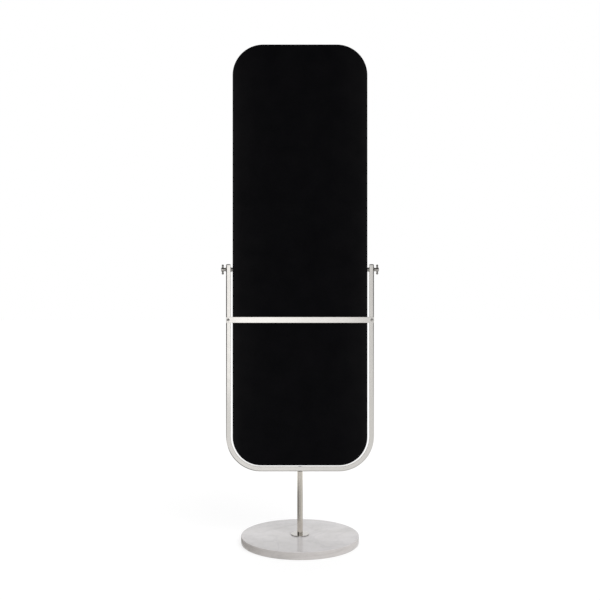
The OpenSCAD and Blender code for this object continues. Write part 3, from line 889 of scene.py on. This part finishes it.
def paper_glow(tree, x, y, z):
    """Levels by bearing near the base, which fade to the front paper's and to white at the back."""
    bearing = calc(tree, "ARCTAN2", x, calc(tree, "MULTIPLY", y, -1))
    near = level(tree, bearing, (-math.pi, 0.95), (-2.3, 0.30), (-1.2, 0.18), (-0.4, 0.44),
                 (0.0, 0.45), (0.4, 0.46), (1.2, 0.70), (1.9, 0.60), (2.4, 0.50), (math.pi, 0.95))
    distance = from_axis(tree, x, y)
    ahead = calc(tree, "SUBTRACT", level(tree, x, *PAPER_LEVELS), near)
    faded = calc(tree, "MULTIPLY", ahead, level(tree, distance, (0.8, 0.0), (1.0, 1.0)))
    front = calc(tree, "ADD", near, faded)
    back = calc(tree, "MULTIPLY", level(tree, distance, (0.6, 0.0), (1.0, 1.0)),
                level(tree, y, (-0.3, 0.0), (0.3, 1.0)))
    return calc(tree, "MAXIMUM", front, back)


def backdrop_glow(tree, x, y, z):
    """White at its foot, light up to 1.3 m, and greyer above that and round to the sides."""
    side = calc(tree, "ABSOLUTE", calc(tree, "ARCTAN2", x, y))
    wall = calc(tree, "MULTIPLY", level(tree, side, (0.0, 0.90), (0.75, 0.56), (1.15, 0.06)),
                level(tree, z, (1.3, 1.08), (1.53, 0.74), (1.7, 0.69), (3.2, 0.34)))
    foot = level(tree, from_axis(tree, x, y), (1.1, 1.0), (4.6, 0.0))
    return calc(tree, "MAXIMUM", wall, foot)


def sun(name, direction, strength, angle):
    """A lamp so far and so wide that it lights everything alike, with soft shadows."""
    data = bpy.data.lights.new(name, "SUN")
    data.energy = strength
    data.angle = math.radians(angle)
    obj = bpy.data.objects.new(name, data)
    bpy.context.scene.collection.objects.link(obj)
    obj.rotation_euler = Vector(direction).to_track_quat("Z", "Y").to_euler()
    obj.visible_glossy = False


def backdrop_outline():
    """Level from behind the object, then bent up to an upright wall."""
    outline = [(RING_BACK_R, PAPER_LIFT)]
    for k in range(BEND_STEPS + 1):
        angle = math.pi / 2 * k / BEND_STEPS
        outline.append((BACKDROP_BEND_START + BACKDROP_BEND_R * math.sin(angle),
                        PAPER_LIFT + BACKDROP_BEND_R - BACKDROP_BEND_R * math.cos(angle)))
    outline.append((BACKDROP_BEND_START + BACKDROP_BEND_R, BACKDROP_TOP))
    return outline


def studio():
    """A white room: a light wall in front, dark flags beside and above, and a curved backdrop."""
    white_world()
    white_floor()
    wall = wall_sheet((-CARD_HALF, ROOM_FRONT), (CARD_HALF, ROOM_FRONT), ROOM_TOP)
    flat_card("front_card", wall, 0,
              (-1.4, 0.03), (-0.98, 0.45), (-0.68, 1.16), (-0.45, 1.23), (0.0, 1.05), (0.45, 0.91),
              (0.64, 0.73), (0.95, 0.38), (1.4, 0.03))
    paper = level_sheet(PAPER_HALF, ROOM_FRONT, PAPER_BACK, PAPER_LIFT)
    flat_card("front_paper", paper, 0, *PAPER_LEVELS)
    for side, near, far in (
            (LEFT, ((0.0, 0.45), (0.35, 0.22), (0.62, 0.06)),
             ((0.55, 0.06), (0.7, 0.03), (1.06, 0.01))),
            (RIGHT, ((0.0, 0.75), (0.45, 0.45), (0.62, 0.34)),
             ((0.55, 0.36), (0.8, 0.18), (1.06, 0.06)))):
        side_flag(side, NEAR_FLAG, *near)
        side_flag(side, FAR_FLAG, *far, (1.45, 0.42), (ROOM_TOP, 0.50))
    flat_card("ceiling_flag", level_sheet(CEILING_HALF, ROOM_FRONT, CEILING_BACK, ROOM_TOP), 1,
              (-1.0, 0.03), (0.3, 0.20), (2.0, 0.42))
    for radius, first, last in ((RING_FRONT_R, -RING_SEAM, RING_SEAM),
                                (RING_BACK_R, RING_SEAM, 360 - RING_SEAM)):
        round_card("base_paper", [(RING_INNER_R, RING_LIFT), (radius, RING_LIFT)], first, last,
                   paper_glow)
    round_card("backdrop", backdrop_outline(), 90, 270, backdrop_glow)
    sun("key", KEY_DIRECTION, KEY_STRENGTH, KEY_ANGLE)
    sun("back", BACK_DIRECTION, BACK_STRENGTH, BACK_ANGLE)


def camera():
    """The photograph's camera."""
    data = bpy.data.cameras.new("camera")
    data.lens = CAMERA_LENS
    data.sensor_width = CAMERA_SENSOR
    obj = bpy.data.objects.new("camera", data)
    bpy.context.scene.collection.objects.link(obj)
    obj.location = (0, -CAMERA_DISTANCE, CAMERA_HEIGHT)
    obj.rotation_euler = (math.pi / 2, 0, 0)
    bpy.context.scene.camera = obj
    bpy.context.scene.view_settings.view_transform = "Standard"


camera()
studio()
dress_nodes()
stone_base()
felt_pads()
foot()
crossbar()
panel()
for side_name, side_sign in SIDES.items():
    tube_cap(side_name, side_sign)
    pivot(side_name, side_sign)
    thumbscrew(side_name, side_sign)
